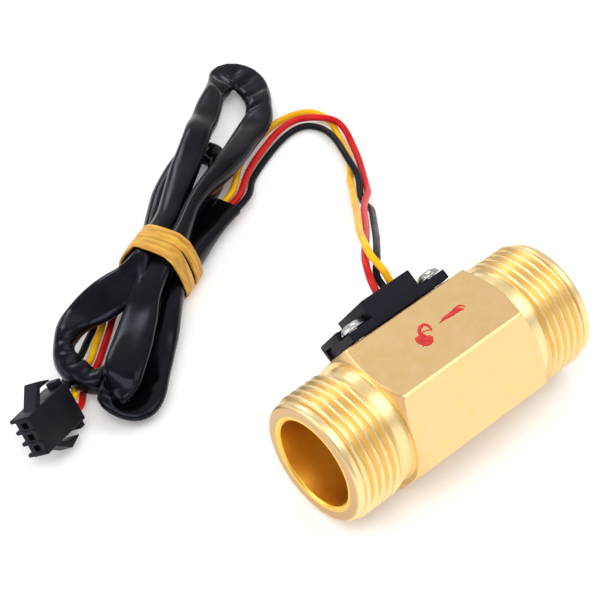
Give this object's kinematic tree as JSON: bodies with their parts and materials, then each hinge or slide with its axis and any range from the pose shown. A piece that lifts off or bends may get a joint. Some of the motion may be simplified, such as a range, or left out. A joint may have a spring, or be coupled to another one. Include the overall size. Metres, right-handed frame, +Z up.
{
  "type": "water flow sensor",
  "caption": "In-line brass water flow sensor: threaded hexagon body with a bladed rotor inside, a black sensor cover, and a bundled wire lead ending in a plug.",
  "frame": {"origin": "middle of the hexagon flat that the body rests on", "axes": "+X along the pipe from the inlet to the outlet, +Z up, +Y towards the cover and the lead"},
  "size_m": [0.1098, 0.1208, 0.029],
  "materials": {
    "brass": "bright turned brass",
    "black_plastic": "fine satin moulding",
    "steel": "plated",
    "board_green": "solder mask",
    "epoxy_black": "moulded",
    "chip_tan": "ceramic",
    "wire_red": "PVC insulation",
    "wire_yellow": "PVC insulation",
    "wire_black": "PVC insulation",
    "sleeve_black": "soft PVC tube",
    "band_amber": "plain rubber",
    "white_plastic": "moulded",
    "magnet_grey": "sintered ferrite",
    "tin": "tin plated"
  },
  "bodies": {
    "sensor": {"brass_body": "brass", "sensor_cover": "black_plastic", "cover_screw_left": "steel", "cover_screw_right": "steel", "hall_board": "board_green", "hall_sensor": "epoxy_black", "board_resistor": "epoxy_black", "board_capacitor": "chip_tan", "wire_red": "wire_red", "wire_yellow": "wire_yellow", "wire_black": "wire_black", "cable_sleeve": "sleeve_black", "tail_wire_red": "wire_red", "tail_wire_yellow": "wire_yellow", "tail_wire_black": "wire_black", "connector_housing": "black_plastic", "contact_red": "tin", "contact_yellow": "tin", "contact_black": "tin", "bundle_band": "band_amber", "inlet_guide": "white_plastic", "rotor_shaft": "steel", "outlet_support": "white_plastic", "retaining_ring": "steel", "thrust_washer_front": "steel", "thrust_washer_rear": "steel"},
    "rotor": {"rotor": "white_plastic", "rotor_magnet": "magnet_grey"}
  },
  "joints": [
    {"name": "rotor_spin", "type": "hinge", "parent": "sensor", "child": "rotor", "pos_m": [0, 0, 0.0135], "axis": [1, 0, 0], "continuous": true}
  ]
}
